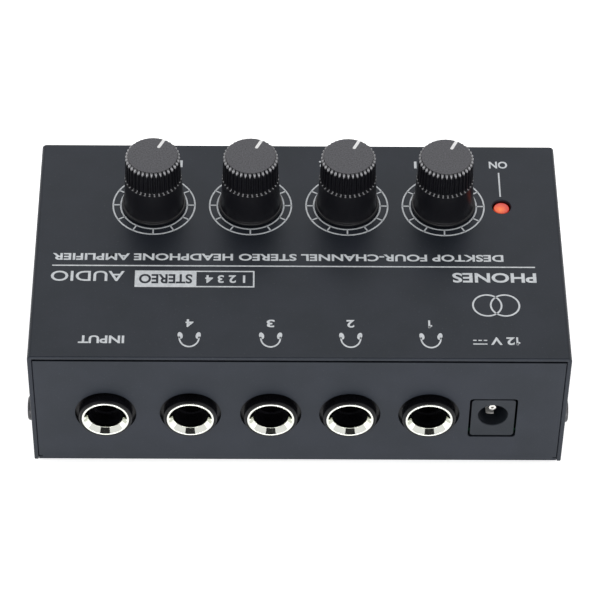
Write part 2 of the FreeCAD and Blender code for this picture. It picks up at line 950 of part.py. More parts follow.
def power_lamp():
    """The flat-topped lamp with its flange."""
    top, bottom = lamp_levels()
    lens = post(lamp_x, knob_row_y, lamp_radius, bottom, top)
    lens = rounded(lens, lamp_edge_round, lambda edge: is_ring_at(edge, top))
    flange = post(lamp_x, knob_row_y, lamp_flange_radius, bottom, bottom + lamp_flange_height)
    return joined([lens, flange])


def lamp_lead(x, grown, z0, z1):
    """One square lamp lead, grown on each side."""
    half = lamp_lead_width / 2 + grown
    return box(x - half, x + half, knob_row_y - half, knob_row_y + half, z0, z1)


def lamp_leads():
    """The two leads from the lamp down through the board."""
    bottom = lamp_levels()[1]
    leads = [lamp_lead(x, 0, board_bottom - pin_tail, bottom) for x in lamp_lead_places()]
    return Part.makeCompound(leads)


def lamp_spacer():
    """The plastic column that holds the lamp up behind its hole."""
    bottom = lamp_levels()[1]
    column = post(lamp_x, knob_row_y, lamp_spacer_radius, board_top, bottom)
    channel_ends = (board_top - cut_over, bottom + cut_over)
    channels = [lamp_lead(x, lamp_lead_gap, *channel_ends) for x in lamp_lead_places()]
    return column.cut(channels)


def chip_places():
    """The X of each amplifier chip, midway between neighbouring controls."""
    knobs = knob_places()
    return [(left + right) / 2 for left, right in zip(knobs, knobs[1:])][:chip_count]


def amplifier_chips():
    """Amplifier chips with an end notch and four legs a side."""
    chips = []
    for x in chip_places():
        low = board_top + chip_leg_rise - chip_leg_width
        body = box(
            x - chip_width / 2,
            x + chip_width / 2,
            chip_row_y - chip_depth / 2,
            chip_row_y + chip_depth / 2,
            low,
            low + chip_height,
        )
        high = low + chip_height
        notch_floor = high - chip_notch_depth
        notch = post(x - chip_width / 2, chip_row_y, chip_notch_radius, notch_floor, high + cut_over)
        legs = []
        for index in range(chip_legs_a_side):
            leg_x = x + (index - (chip_legs_a_side - 1) / 2) * chip_leg_pitch
            for side in (-1, 1):
                ys = sorted((side * chip_depth / 2, side * (chip_depth / 2 + chip_leg_reach)))
                legs.append(
                    box(
                        leg_x - chip_leg_width / 2,
                        leg_x + chip_leg_width / 2,
                        chip_row_y + ys[0],
                        chip_row_y + ys[1],
                        board_top,
                        board_top + chip_leg_rise,
                    )
                )
        chips.append(joined([body.cut(notch)] + legs))
    return Part.makeCompound(chips)


def can(x, y, radius, height):
    """One upright capacitor can with a rounded top edge."""
    body = post(x, y, radius, board_top, board_top + height)
    return rounded(body, can_round, lambda edge: is_ring_at(edge, board_top + height))


def capacitor_cans():
    """A coupling capacitor behind each control and one bulk capacitor behind the inlet."""
    cans = [can(x, chip_row_y, coupling_can_radius, coupling_can_height) for x in knob_places()]
    cans.append(can(inlet_x, bulk_can_y, bulk_can_radius, bulk_can_height))
    return Part.makeCompound(cans)


def voltage_regulator():
    """An upright regulator with a drilled metal tab and three leads."""
    low = board_top + regulator_lift
    back = regulator_x + regulator_depth / 2
    tab_back = back + regulator_tab_sheet
    y0 = knob_row_y - regulator_width / 2
    y1 = knob_row_y + regulator_width / 2
    body = box(regulator_x - regulator_depth / 2, back, y0, y1, low, low + regulator_height)
    tab = box(back, tab_back, y0, y1, low, low + regulator_tab_height)
    hole_z = low + (regulator_height + regulator_tab_height) / 2
    hole = bar_x(knob_row_y, hole_z, screw_thread_radius, back - cut_over, tab_back + cut_over)
    leads = []
    half = regulator_lead_width / 2
    for step in (-1, 0, 1):
        y = knob_row_y + step * regulator_lead_pitch
        leads.append(box(regulator_x - half, regulator_x + half, y - half, y + half, board_top, low))
    return joined([body, tab.cut(hole)] + leads)


def chip_resistors():
    """A row of small surface-mounted resistors along the rear edge of the board."""
    y = board_rear + resistor_row_inset
    first = -resistor_pitch * (resistor_count - 1) / 2
    resistors = []
    for index in range(resistor_count):
        x = first + resistor_pitch * index
        resistors.append(
            box(
                x - resistor_width / 2,
                x + resistor_width / 2,
                y - resistor_length / 2,
                y + resistor_length / 2,
                board_top,
                board_top + resistor_height,
            )
        )
    return Part.makeCompound(resistors)


def all_nodes():
    """Every node's name and shape."""
    nodes = {
        "top_cover": top_cover(),
        "bottom_chassis": bottom_chassis(),
        "side_screws": side_screws(),
        "clinch_nuts": clinch_nuts(),
        "rubber_feet": rubber_feet(),
        "board_standoffs": board_standoffs(),
        "board_screws": board_screws(),
        "circuit_board": circuit_board(),
        "inlet_body": inlet_body(),
        "inlet_pin": inlet_pin(),
        "inlet_terminal": inlet_terminal(),
        "inlet_contact": inlet_contact(),
        "power_lamp": power_lamp(),
        "lamp_leads": lamp_leads(),
        "lamp_spacer": lamp_spacer(),
        "amplifier_chips": amplifier_chips(),
        "capacitor_cans": capacitor_cans(),
        "voltage_regulator": voltage_regulator(),
        "chip_resistors": chip_resistors(),
    }
    for name, x in jack_places.items():
        nodes[name + "_jack_body"] = jack_body(x)
        nodes[name + "_jack_ferrule"] = jack_ferrule(x)
        nodes[name + "_jack_contacts"] = jack_contacts(x)
    body = knob_body()
    pointer = knob_pointer()
    for number, x in enumerate(knob_places(), start=1):
        nodes[f"level_{number}_knob"] = knob_with_bore(body, x)
        nodes[f"level_{number}_pointer"] = placed_knob_piece(pointer, x)
        nodes[f"level_{number}_shaft"] = pot_shaft(x)
        nodes[f"level_{number}_bush"] = pot_bush(x)
        nodes[f"level_{number}_housing"] = pot_housing(x)
        nodes[f"level_{number}_terminals"] = pot_terminals(x)
    return nodes


os.makedirs("parts", exist_ok=True)
to_origin = Vector(0, (half_depth - ferrule_front) / 2, 0)
for name, shape in all_nodes().items():
    shape.translate(to_origin)
    shape.exportStep("parts/" + name + ".step")
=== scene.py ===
import json
import math

import bmesh
import bpy
from mathutils import Matrix, Vector


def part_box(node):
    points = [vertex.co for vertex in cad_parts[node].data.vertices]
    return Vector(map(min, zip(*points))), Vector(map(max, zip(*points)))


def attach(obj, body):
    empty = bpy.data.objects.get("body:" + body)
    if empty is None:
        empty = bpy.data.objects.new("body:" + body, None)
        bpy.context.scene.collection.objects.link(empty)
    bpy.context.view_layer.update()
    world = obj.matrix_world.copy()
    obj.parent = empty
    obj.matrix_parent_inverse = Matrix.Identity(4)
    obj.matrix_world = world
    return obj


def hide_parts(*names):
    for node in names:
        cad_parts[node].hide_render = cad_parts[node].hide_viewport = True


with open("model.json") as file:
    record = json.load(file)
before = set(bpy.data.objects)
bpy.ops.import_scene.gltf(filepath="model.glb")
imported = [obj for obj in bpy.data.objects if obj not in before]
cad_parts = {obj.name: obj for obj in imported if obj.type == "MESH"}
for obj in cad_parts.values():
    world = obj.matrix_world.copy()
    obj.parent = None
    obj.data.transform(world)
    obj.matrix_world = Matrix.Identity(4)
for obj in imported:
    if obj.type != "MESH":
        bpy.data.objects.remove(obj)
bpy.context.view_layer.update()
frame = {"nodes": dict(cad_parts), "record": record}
nodes = frame["nodes"]
slot_of = {row["node"]: row["material_slot"] for row in frame["record"]["subparts"]}

MM = 0.001

# Camera: where it stands, how it is turned and how long its lens is.
camera_place = Vector((8.735, 478.22, 532.755)) * MM
camera_pitch = math.radians(46.979)
camera_heading = math.radians(180 - 1.097)
camera_roll = math.radians(1.061)
camera_focal = 181.6
camera_film = 36
camera_near = 0.05
camera_far = 20

channels = range(1, 5)

# Casing
cover_sheet = 1.0
cover_bend = 1.1
sheet_edge_round = 0.26
lamp_hole_radius = 2.15
shaft_hole_radius = 3.7
screw_hole_radius = 1.7
hole_tool_under = 3
hole_tool_over = 1
screw_tool_length = 6

# Feet: the outline's (radius, height) up to the side, and the rounding
foot_radius = 5.0
foot_outline = ((0, 0.25), (3.2, 0.25), (3.6, 0), (4.6, 0), (foot_radius, 0.4))
foot_round = 0.15

# Plated socket ring: (radius, depth behind its front) round the rolled rim, the sleeve and the funnel
ring_outline = (
    (4.84, 0.14),
    (4.9, 0.04),
    (5.04, 0.0),
    (5.2, 0.03),
    (5.3, 0.14),
    (5.3, 0.8),
    (4.3, 0.8),
    (4.3, 2.0),
    (3.9, 2.0),
    (3.9, 1.25),
    (3.93, 1.15),
    (3.99, 1.07),
    (4.84, 0.14),
)
ring_steps = 128

# Knob, with heights above the cover
knob_sides_a_flute = 10
knob_flutes = 36
knob_lift = 0.5
knob_height = 16.0
knob_base_radius = 7.35
knob_base_band = 0.6
knob_base_inset = 0.35
knob_skirt = ((6.98, 1.19), (6.9, 1.7), (6.84, 2.6), (6.77, 3.8), (6.64, 6.0))
knob_ledge_rise = 9.15
knob_ledge_radius = 6.42
knob_ledge_round = 0.08
knob_grip_radius = 6.2
knob_top_radius = 5.64
knob_shoulder = 15.5
knob_hollow_radius = 5.95
knob_hollow_top = 5.5
knob_hub_radius = 4.4
knob_hub_lift = 0.9
knob_bore_radius = 3.02
knob_bore_top = 12.5
knob_edge_round = 0.05
grip_step = 0.04
groove_run_in = 0.25
groove_run_out = 0.75
groove_depths = (0.56, 0.545, 0.5, 0.41)
# Where the painted glints go: the rib tips near the rim and the ledges at the foot of the grooves
painted_glint_below_shoulder = 0.15
painted_glint_below_top = 0.08
painted_glint_outside_top = 0.12
painted_glint_ledge_band = 0.06
# The up-facing knob top: a real satin roughness, and a painted sheen that makes its colour paler
top_satin_and_sheen_facing = (0.985, 0.995)
top_satin_and_sheen_fade = 0.1
top_satin_and_sheen_band = 0.02
pointer_angle = math.radians(244)
pointer_start = 2.68
pointer_slot_width = 0.79
pointer_slot_depth = 0.42

# Lamp
lens_radius = 1.8
lens_flange_radius = 2.2
lens_flange = 1.0
lens_round = 0.22
lit_chip = (0.35, 0.45)
lit_waver = 0.9
lit_core = (0.5, 2.3)
lit_reach = (3.1, 3.7)
lit_strength = (0.38, 0.85)

# Print on the cover
print_proud = 0.02
dial_outer = 9.6
dial_inner = 7.85
print_line = 0.35
letter_height = 2.3
dial_gap = (240, 300)
dial_tick_turn = 30
ear_pad_spread = 2.0
ear_pad_drop = 0.6
ear_pad_lean = 12
name_box_left, name_box_split, name_box_right = 10.1, 23.2, 37.1
name_box_low, name_box_high = 6.3, 11.4
lamp_sign_x = -46.75
lamp_line_half = 0.18
direct_current_left = -41.6
direct_current_length = 3.15
direct_current_stroke = 0.3
direct_current_dash = 0.79
direct_current_pitch = 1.18

# Studio: lengths in metres, brightness and watts
surround_strength = 0.78
floor_side = 8
floor_strength = 0.75
screen_side = 0.75
screen_distance = 1.35


def pick(piece, kind, chosen):
    """Select only the vertices, edges or faces that the test picks."""
    bpy.ops.mesh.select_mode(type=kind)
    bpy.ops.mesh.select_all(action="DESELECT")
    form = bmesh.from_edit_mesh(piece.data)
    group = {"VERT": form.verts, "EDGE": form.edges, "FACE": form.faces}[kind]
    for element in group:
        if chosen(element):
            element.select_set(True)
    if kind == "VERT":
        form.select_flush(True)
    bmesh.update_edit_mesh(piece.data)


def only(piece):
    """Leave edit mode and select one piece."""
    if bpy.context.object and bpy.context.object.mode == "EDIT":
        bpy.ops.object.mode_set(mode="OBJECT")
    bpy.ops.object.select_all(action="DESELECT")
    piece.select_set(True)
    bpy.context.view_layer.objects.active = piece


def edit(piece):
    """Open one piece in edit mode with everything selected."""
    only(piece)
    bpy.ops.object.mode_set(mode="EDIT")
    bpy.ops.mesh.select_mode(type="VERT")
    bpy.ops.mesh.select_all(action="SELECT")


def fix_place(piece):
    """Put the piece's place, turn and size in its mesh."""
    only(piece)
    bpy.ops.object.transform_apply(location=True, rotation=True, scale=True)


def clean(piece):
    """Merge doubled points and point the faces outwards."""
    edit(piece)
    bpy.ops.mesh.remove_doubles(threshold=1e-7)
    bpy.ops.mesh.normals_make_consistent(inside=False)
    only(piece)


def soften(piece, width, segments, angle):
    """Round the sharp edges with a bevel."""
    only(piece)
    bevel = piece.modifiers.new("round", "BEVEL")
    bevel.width = width * MM
    bevel.segments = segments
    bevel.limit_method = "ANGLE"
    bevel.angle_limit = math.radians(angle)
    bpy.ops.object.modifier_apply(modifier=bevel.name)


def cut_away(piece, tools):
    """Take the tools' shapes out of the piece."""
    only(tools[0])
    for tool in tools:
        tool.select_set(True)
    if len(tools) > 1:
        bpy.ops.object.join()
    cutter = bpy.context.object
    only(piece)
    cut = piece.modifiers.new("cut", "BOOLEAN")
    cut.operation = "DIFFERENCE"
    cut.solver = "EXACT"
    cut.object = cutter
    bpy.ops.object.modifier_apply(modifier=cut.name)
    bpy.data.objects.remove(cutter, do_unlink=True)


def dress(piece, name, material, body, replaced=(), smooth=35):
    """Name a finished piece, paint it and tie it to its body."""
    fix_place(piece)
    bpy.ops.object.shade_smooth_by_angle(angle=math.radians(smooth))
    even = piece.modifiers.new("even", "WEIGHTED_NORMAL")
    even.keep_sharp = True
    bpy.ops.object.modifier_apply(modifier=even.name)
    piece.name = name
    piece.data.name = name
    piece.data.materials.clear()
    piece.data.materials.append(material)
    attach(piece, body)
    if replaced:
        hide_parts(*replaced)


def copy_at(piece, place):
    """A copy with its own mesh, moved to a place."""
    twin = piece.copy()
    twin.data = piece.data.copy()
    bpy.context.scene.collection.objects.link(twin)
    twin.location = place
    return twin


def middle_of(node):
    """The middle of a CAD node's box."""
    low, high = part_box(node)
    return (low + high) / 2


def turned(outline, steps=96):
    """A piece spun about Z from its (radius, height) outline.

    The outline closes on itself or ends on the axis.
    """
    bpy.ops.object.select_all(action="DESELECT")
    bpy.ops.mesh.primitive_plane_add(size=MM, location=(0, 0, 0))
    piece = bpy.context.object
    edit(piece)
    bpy.ops.mesh.merge(type="CENTER")
    bpy.ops.mesh.select_all(action="SELECT")
    radius, height = outline[0]
    bpy.ops.transform.translate(value=(radius * MM, 0, height * MM))
    for next_radius, next_height in outline[1:]:
        step = ((next_radius - radius) * MM, 0, (next_height - height) * MM)
        bpy.ops.mesh.extrude_vertices_move(TRANSFORM_OT_translate={"value": step})
        radius, height = next_radius, next_height
    bpy.ops.mesh.select_all(action="SELECT")
    bpy.ops.mesh.spin(steps=steps, angle=2 * math.pi, center=(0, 0, 0), axis=(0, 0, 1))
    clean(piece)
    return piece


def post(x, y, radius, low, high, sides=64):
    """An upright round tool between two heights, in metres."""
    bpy.ops.mesh.primitive_cylinder_add(
        vertices=sides, radius=radius * MM, depth=high - low, location=(x, y, (low + high) / 2)
    )
    return bpy.context.object


# ---- Finishes -------------------------------------------------------------------------------------------


def painted_nodes(name):
    """A new material with its shader and its Object coordinates."""
    material = bpy.data.materials.new(name)
    material.use_nodes = True
    tree = material.node_tree
    place = tree.nodes.new("ShaderNodeTexCoord")
    return material, tree, tree.nodes["Principled BSDF"], place.outputs["Object"]


def speckle(tree, place, size, detail=3.0, roughness=0.5):
    """Noise whose grains are about the given size in millimetres."""
    noise = tree.nodes.new("ShaderNodeTexNoise")
    noise.inputs["Scale"].default_value = 1 / (size * MM)
    noise.inputs["Detail"].default_value = detail
    noise.inputs["Roughness"].default_value = roughness
    tree.links.new(place, noise.inputs["Vector"])
    return noise.outputs["Fac"]


def spread(tree, value, low, high, start=0.35, end=0.65):
    """A noise value stretched between two numbers."""
    stretch = tree.nodes.new("ShaderNodeMapRange")
    stretch.inputs["From Min"].default_value = start
    stretch.inputs["From Max"].default_value = end
    stretch.inputs["To Min"].default_value = low
    stretch.inputs["To Max"].default_value = high
    tree.links.new(value, stretch.inputs["Value"])
    return stretch.outputs["Result"]


def blend_colours(tree, value, dark, light):
    """A colour between two, by a value. Each is a fixed colour or the output of another node."""
    mix = tree.nodes.new("ShaderNodeMix")
    mix.data_type = "RGBA"
    for side, colour in (("A", dark), ("B", light)):
        if isinstance(colour, tuple):
            mix.inputs[side].default_value = (*colour, 1)
        else:
            tree.links.new(colour, mix.inputs[side])
    tree.links.new(value, mix.inputs["Factor"])
    return mix.outputs["Result"]


def multiply(tree, first, second):
    """The product of two values."""
    product = tree.nodes.new("ShaderNodeMath")
    product.operation = "MULTIPLY"
    tree.links.new(first, product.inputs[0])
    tree.links.new(second, product.inputs[1])
    return product.outputs["Value"]


def along(tree, vector, axis):
    """One axis of a vector."""
    parts = tree.nodes.new("ShaderNodeSeparateXYZ")
    tree.links.new(vector, parts.inputs["Vector"])
    return parts.outputs[axis]


def add_bump(tree, shader, value, height):
    """A relief of a given height in millimetres."""
    bump = tree.nodes.new("ShaderNodeBump")
    bump.inputs["Distance"].default_value = height * MM
    tree.links.new(value, bump.inputs["Height"])
    tree.links.new(bump.outputs["Normal"], shader.inputs["Normal"])


def finish(
    name,
    dark,
    light,
    smoothest,
    roughest,
    grain=0.3,
    relief=0.01,
    patch=6.0,
    metallic=0.0,
    specular=0.5,
):
    """A finish with a fine grain, larger patches of tone and uneven gloss."""
    material, tree, shader, place = painted_nodes(name)
    shader.inputs["Metallic"].default_value = metallic
    shader.inputs["Specular IOR Level"].default_value = specular
    fine = speckle(tree, place, grain)
    broad = speckle(tree, place, patch, detail=2.0)
    tree.links.new(
        blend_colours(tree, spread(tree, broad, 0, 1), dark, light), shader.inputs["Base Color"]
    )
    tree.links.new(spread(tree, fine, smoothest, roughest), shader.inputs["Roughness"])
    add_bump(tree, shader, fine, relief)
    return material


def powder_coat():
    """Dark blue-grey powder coat: a fine orange-peel relief with a few lighter specks."""
    material, tree, shader, place = painted_nodes("powder_coat")
    shader.inputs["Specular IOR Level"].default_value = 0.27
    shader.inputs["Specular Tint"].default_value = (0.85, 0.91, 1.0, 1)
    peel = speckle(tree, place, 0.22, detail=4.0, roughness=0.6)
    cloud = speckle(tree, place, 9.0, detail=3.0)
    base = blend_colours(tree, spread(tree, cloud, 0, 1), (0.014, 0.017, 0.023), (0.018, 0.021, 0.029))
    specks = spread(tree, speckle(tree, place, 0.5, detail=1.0), 0, 0.5, 0.66, 0.8)
    speckled = blend_colours(tree, specks, base, (0.05, 0.055, 0.063))
    tree.links.new(speckled, shader.inputs["Base Color"])
    tree.links.new(spread(tree, peel, 0.36, 0.46), shader.inputs["Roughness"])
    add_bump(tree, shader, peel, 0.012)
    return material


def knob_plastic():
    """Black moulded plastic with a speckled satin top painted paler as a sheen of the light from above, and
    painted glints on the rib tips and groove ledges.
    """
    material, tree, shader, place = painted_nodes("knob_plastic")
    shader.inputs["Specular IOR Level"].default_value = 0.36
    fine = speckle(tree, place, 0.32, detail=4.0, roughness=0.75)
    facing = tree.nodes.new("ShaderNodeNewGeometry").outputs["True Normal"]
    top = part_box("level_1_knob")[1].z
    # The up-facing top gets a rougher satin finish and a paler colour; the paler colour is a painted sheen of
    # the light from above.
    flat = spread(tree, along(tree, facing, "Z"), 0, 1, *top_satin_and_sheen_facing)
    high = spread(tree, along(tree, place, "Z"), 0, 1, top - top_satin_and_sheen_fade * MM, top - top_satin_and_sheen_band * MM)
    top_satin_and_sheen = multiply(tree, flat, high)
    painted_top_sheen = blend_colours(tree, spread(tree, fine, 0, 1), (0.045, 0.045, 0.053), (0.125, 0.125, 0.138))
    body = blend_colours(tree, top_satin_and_sheen, (0.004, 0.004, 0.006), painted_top_sheen)
    # Painted glints: the marked rib tips and groove ledges are painted pale grey in place of their
    # highlights.
    glint_attribute = tree.nodes.new("ShaderNodeAttribute")
    glint_attribute.attribute_name = "painted_glint"
    painted_glint = blend_colours(tree, glint_attribute.outputs["Fac"], body, (0.45, 0.45, 0.47))
    tree.links.new(painted_glint, shader.inputs["Base Color"])
    gloss = tree.nodes.new("ShaderNodeMix")
    tree.links.new(top_satin_and_sheen, gloss.inputs["Factor"])
    tree.links.new(spread(tree, fine, 0.30, 0.38), gloss.inputs["A"])
    tree.links.new(spread(tree, fine, 0.42, 0.55), gloss.inputs["B"])
    tree.links.new(gloss.outputs["Result"], shader.inputs["Roughness"])
    add_bump(tree, shader, fine, 0.006)
    return material


def lit_lens():
    """A lit red lens, brighter and more orange over the chip inside, and dark below the cover."""
    material, tree, shader, place = painted_nodes("lit_lens")
    shader.inputs["Roughness"].default_value = 0.18
    centre = middle_of("power_lamp")
    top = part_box("power_lamp")[1].z
    chip = Vector((centre.x + lit_chip[0] * MM, centre.y + lit_chip[1] * MM, top))
    offset = tree.nodes.new("ShaderNodeVectorMath")
    offset.operation = "DISTANCE"
    offset.inputs[1].default_value = chip
    tree.links.new(place, offset.inputs[0])
    waver = tree.nodes.new("ShaderNodeMath")
    waver.operation = "MULTIPLY_ADD"
    tree.links.new(speckle(tree, place, lit_waver, detail=2.0), waver.inputs[0])
    waver.inputs[1].default_value = lit_waver * MM
    tree.links.new(offset.outputs["Value"], waver.inputs[2])
    glow = spread(tree, waver.outputs["Value"], 1, 0, lit_core[0] * MM, lit_core[1] * MM)
    colour = blend_colours(tree, glow, (0.75, 0.030, 0.012), (0.70, 0.165, 0.022))
    tree.links.new(colour, shader.inputs["Emission Color"])
    tree.links.new(
        blend_colours(tree, glow, (0.45, 0.02, 0.006), (0.6, 0.09, 0.012)), shader.inputs["Base Color"]
    )
    near = spread(tree, waver.outputs["Value"], 1, 0, lit_reach[0] * MM, lit_reach[1] * MM)
    strength = multiply(tree, spread(tree, glow, *lit_strength, 0, 1), near)
    tree.links.new(strength, shader.inputs["Emission Strength"])
    return material


coat = powder_coat()
knob_finish = knob_plastic()
lens_finish = lit_lens()
print_finish = finish(
    "silk_screen",
    (0.60, 0.63, 0.66),
    (0.72, 0.75, 0.78),
    0.45,
    0.6,
    grain=0.15,
    relief=0.003,
    patch=0.8,
)
finishes = {
    "case_paint": coat,
    "knob_plastic": knob_finish,
    "lamp_red": lens_finish,
    "black_steel": finish(
        "black_oxide", (0.07, 0.07, 0.075), (0.12, 0.12, 0.125), 0.3, 0.45, grain=0.2, metallic=0.8
    ),
    "zinc_steel": finish(
        "zinc_plate", (0.50, 0.51, 0.52), (0.62, 0.62, 0.60), 0.25, 0.4, grain=0.2, metallic=1.0
    ),
    "foot_rubber": finish(
        "foot_rubber", (0.012, 0.012, 0.012), (0.022, 0.022, 0.022), 0.7, 0.85, grain=0.25, relief=0.02
    ),
    "board_laminate": finish(
        "solder_mask", (0.008, 0.07, 0.03), (0.012, 0.10, 0.045), 0.3, 0.4, grain=0.3, patch=3.0
    ),
    "socket_plastic": finish(
        "socket_nylon",
        (0.003, 0.003, 0.004),
        (0.006, 0.006, 0.008),
        0.25,
        0.36,
        grain=0.2,
        relief=0.008,
        specular=0.22,
    ),
    "pin_nickel": finish(
        "nickel_plate",
        (0.82, 0.81, 0.78),
        (0.90, 0.89, 0.86),
        0.14,
        0.25,
        grain=0.15,
        relief=0.002,
        metallic=1.0,
    ),
    "contact_brass": finish(
        "spring_brass",
        (0.55, 0.40, 0.18),
        (0.68, 0.52, 0.28),
        0.2,
        0.35,
        grain=0.2,
        relief=0.003,
        metallic=1.0,
    ),
    "spacer_plastic": finish("spacer_nylon", (0.02, 0.02, 0.02), (0.03, 0.03, 0.03), 0.45, 0.6),
    "component_black": finish("moulded_epoxy", (0.012, 0.012, 0.013), (0.02, 0.02, 0.022), 0.5, 0.65),
    "can_aluminium": finish(
        "can_aluminium", (0.60, 0.60, 0.62), (0.72, 0.72, 0.73), 0.22, 0.36, grain=0.4, metallic=1.0
    ),
    "ferrule_chrome": finish(
        "bright_chrome",
        (0.90, 0.92, 0.85),
        (0.95, 0.96, 0.89),
        0.05,
        0.09,
        grain=0.4,
        relief=0.0008,
        patch=3.0,
        metallic=1.0,
    ),
    "pointer_white": finish(
        "pointer_fill",
        (0.93, 0.93, 0.93),
        (0.98, 0.98, 0.98),
        0.4,
        0.55,
        grain=0.15,
        relief=0.004,
        patch=1.0,
    ),
    "shaft_aluminium": finish(
        "turned_aluminium", (0.60, 0.60, 0.62), (0.70, 0.70, 0.72), 0.2, 0.35, grain=0.2, metallic=1.0
    ),
    "housing_plastic": finish("control_base", (0.02, 0.025, 0.03), (0.03, 0.035, 0.04), 0.45, 0.6),
}
for node_name, node in nodes.items():
    node.data.materials.clear()
    node.data.materials.append(finishes[slot_of[node_name]])
nodes["inlet_body"].data.materials[0] = finish(
    "inlet_nylon",
    (0.012, 0.016, 0.022),
    (0.017, 0.021, 0.028),
    0.4,
    0.5,
    grain=0.2,
    relief=0.008,
    specular=0.25,
)
# The spring contact is a diffuse near-white rather than a metal: its brightness is a painted reflection.
nodes["inlet_contact"].data.materials[0] = finish(
    "spring_painted_reflection", (0.90, 0.89, 0.85), (0.96, 0.95, 0.92), 0.3, 0.4, grain=0.15, relief=0.002
)


# ---- Casing ---------------------------------------------------------------------------------------------


def cover():
    """The bent cover: a sheet folded down both sides, with its holes and eased edges."""
    low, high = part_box("top_cover")
    bpy.ops.object.select_all(action="DESELECT")
    bpy.ops.mesh.primitive_cube_add(size=1, location=(low + high) / 2, scale=high - low)
    piece = bpy.context.object
    fix_place(piece)
    edit(piece)
    pick(piece, "FACE", lambda face: face.normal.z < -0.9 or abs(face.normal.y) > 0.9)
    bpy.ops.mesh.delete(type="FACE")

    def bent(edge):
        upper = all(vert.co.z > high.z - MM for vert in edge.verts)
        return upper and len(edge.link_faces) == 2

    pick(piece, "EDGE", bent)
    bpy.ops.mesh.bevel(offset=cover_bend * MM, segments=8, affect="EDGES")
    only(piece)
    wall = piece.modifiers.new("sheet", "SOLIDIFY")
    wall.thickness = cover_sheet * MM
    wall.offset = -1
    wall.use_even_offset = True
    bpy.ops.object.modifier_apply(modifier=wall.name)
    under = high.z - hole_tool_under * MM
    over = high.z + hole_tool_over * MM
    tools = []
    for number in channels:
        axis = middle_of(f"level_{number}_shaft")
        tools.append(post(axis.x, axis.y, shaft_hole_radius, under, over))
    lamp = middle_of("power_lamp")
    tools.append(post(lamp.x, lamp.y, lamp_hole_radius, under, over, sides=96))
    screws_low, screws_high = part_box("side_screws")
    screw_z = (screws_low.z + screws_high.z) / 2
    head_radius = (screws_high.z - screws_low.z) / 2
    for y in (screws_low.y + head_radius, screws_high.y - head_radius):
        for side in (-1, 1):
            bpy.ops.mesh.primitive_cylinder_add(
                vertices=48,
                radius=screw_hole_radius * MM,
                depth=screw_tool_length * MM,
                location=(side * high.x, y, screw_z),
                rotation=(0, math.pi / 2, 0),
            )
            tools.append(bpy.context.object)
    cut_away(piece, tools)
    soften(piece, sheet_edge_round, segments=3, angle=50)
    dress(piece, "folded_cover", coat, "case", ["top_cover"], smooth=30)


def feet():
    """Four round rubber feet with a rolled lower edge and a shallow dish."""
    low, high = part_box("rubber_feet")
    thickness = (high.z - low.z) / MM
    foot = turned([*foot_outline, (foot_radius, thickness), (0, thickness)])
    soften(foot, foot_round, segments=3, angle=25)
    radius = foot_radius * MM
    copies = []
    for x in (low.x + radius, high.x - radius):
        for y in (low.y + radius, high.y - radius):
            copies.append(copy_at(foot, (x, y, low.z)))
    bpy.data.objects.remove(foot, do_unlink=True)
    only(copies[0])
    for twin in copies:
        twin.select_set(True)
    bpy.ops.object.join()
    dress(bpy.context.object, "domed_feet", finishes["foot_rubber"], "case", ["rubber_feet"])


# ---- Sockets --------------------------------------------------------------------------------------------


def ferrules():
    """The plated rings of the five sockets: a rolled rim, a funnel and a short sleeve."""
    ring_piece = turned(ring_outline, steps=ring_steps)
    for name in ("input", "output_1", "output_2", "output_3", "output_4"):
        low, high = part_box(name + "_jack_ferrule")
        twin = copy_at(ring_piece, ((low.x + high.x) / 2, high.y, (low.z + high.z) / 2))
        twin.rotation_euler = (math.pi / 2, 0, 0)
        dress(
            twin,
            name + "_plated_ring",
            finishes["ferrule_chrome"],
            "case",
            [name + "_jack_ferrule"],
            smooth=50,
        )
    bpy.data.objects.remove(ring_piece, do_unlink=True)


# ---- Knobs ----------------------------------------------------------------------------------------------


def grow_ring(radius, rise, next_radius, next_rise):
    """Extrude the selected ring of edges to its next radius and height."""
    bpy.ops.mesh.extrude_region_move(
        TRANSFORM_OT_translate={"value": (0, 0, (next_rise - rise) * MM)}
    )
    ratio = next_radius / radius
    bpy.ops.transform.resize(value=(ratio, ratio, 1), center_override=(0, 0, 0))


def grow_rings(rings):
    """Extrude the selected ring through each (radius, height) in turn."""
    for (radius, rise), (next_radius, next_rise) in zip(rings, rings[1:]):
        grow_ring(radius, rise, next_radius, next_rise)


def groove_step(vert):
    """How many sides a vertex is away from the middle of its groove."""
    angle = math.degrees(math.atan2(vert.co.y, vert.co.x))
    phase = round(angle) % knob_sides_a_flute
    return min(phase, knob_sides_a_flute - phase)


